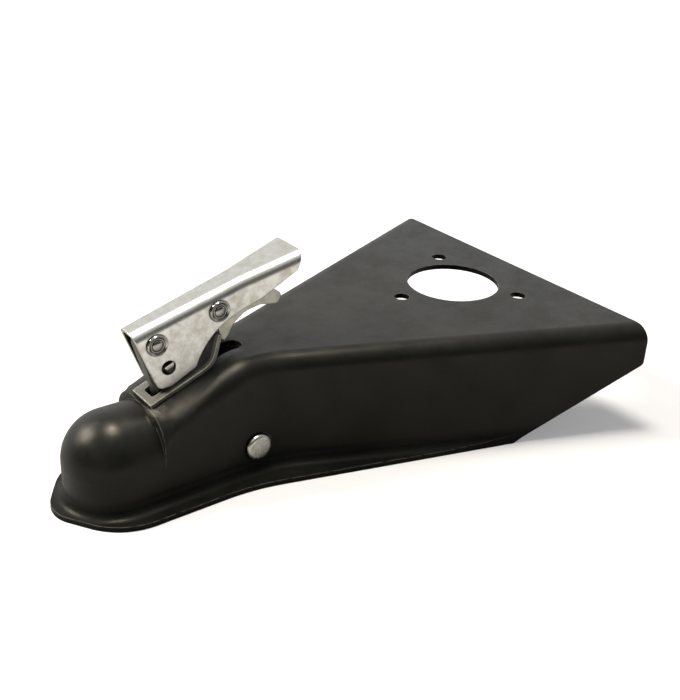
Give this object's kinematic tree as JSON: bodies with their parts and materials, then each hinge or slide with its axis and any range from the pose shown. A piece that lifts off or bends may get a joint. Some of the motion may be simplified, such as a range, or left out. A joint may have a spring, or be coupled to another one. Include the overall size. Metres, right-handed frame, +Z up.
{
  "type": "trailer coupling head",
  "caption": "Pressed A-frame trailer coupling head: ball dome, flared channel with jack bore, and a folded latch lever that draws a hinged clamp under the ball.",
  "frame": {"origin": "centre of the tow ball in the socket", "axes": "+X from the ball to the trailer, +Z up, the XZ plane is the plane of symmetry"},
  "size_m": [0.3598, 0.2462, 0.1343],
  "materials": {
    "black_paint": "satin black paint",
    "pin_zinc": "bright zinc",
    "spacer_steel": "plain steel",
    "slide_zinc": "dull zinc",
    "lever_zinc": "bright zinc",
    "rivet_zinc": "bright zinc",
    "bolt_zinc": "zinc",
    "clamp_zinc": "zinc",
    "spring_steel": "oiled spring steel",
    "trigger_zinc": "zinc"
  },
  "bodies": {
    "shell": {"coupler_body": "black_paint", "clamp_pivot_pin": "pin_zinc", "pivot_spacer_left": "spacer_steel", "pivot_spacer_right": "spacer_steel", "channel_slide": "slide_zinc", "spring_seat": "spacer_steel", "clamp_spring": "spring_steel"},
    "bolt": {"draw_bolt": "bolt_zinc", "rocker_washer": "bolt_zinc", "nut_washer": "bolt_zinc", "lock_nut": "bolt_zinc"},
    "lever": {"latch_lever": "lever_zinc", "lever_rivet": "rivet_zinc", "lever_spacer_left": "spacer_steel", "lever_spacer_right": "spacer_steel", "trigger_rivet": "rivet_zinc", "trigger_sleeve": "spacer_steel", "trigger_spring": "spring_steel"},
    "trigger": {"trigger": "trigger_zinc"},
    "clamp": {"ball_clamp": "clamp_zinc"}
  },
  "joints": [
    {"name": "bolt_slide", "type": "slide", "parent": "shell", "child": "bolt", "axis": [0.1334, 0, -0.9911], "range_m": [0, 0.0095], "deforming": ["clamp_spring"]},
    {"name": "lever_pivot", "type": "hinge", "parent": "bolt", "child": "lever", "pos_m": [0.0269, 0, 0.0688], "axis": [0, -1, 0], "range_deg": [0, 85]},
    {"name": "trigger_pivot", "type": "hinge", "parent": "lever", "child": "trigger", "pos_m": [0.0668, 0, 0.0807], "axis": [0, -1, 0], "range_deg": [0, 12], "stiffness_Nm_per_rad": 0.08, "springref_deg": -8.59, "deforming": ["trigger_spring"]},
    {"name": "clamp_pivot", "type": "hinge", "parent": "shell", "child": "clamp", "pos_m": [0.0817, 0, -0.0059], "axis": [0, -1, 0], "range_deg": [0, 12.3]}
  ],
  "couplings": [
    {"joint": "bolt_slide", "follows": "lever_pivot", "m_per_rad": 0.0064},
    {"joint": "clamp_pivot", "follows": "lever_pivot", "ratio": 0.1447}
  ]
}
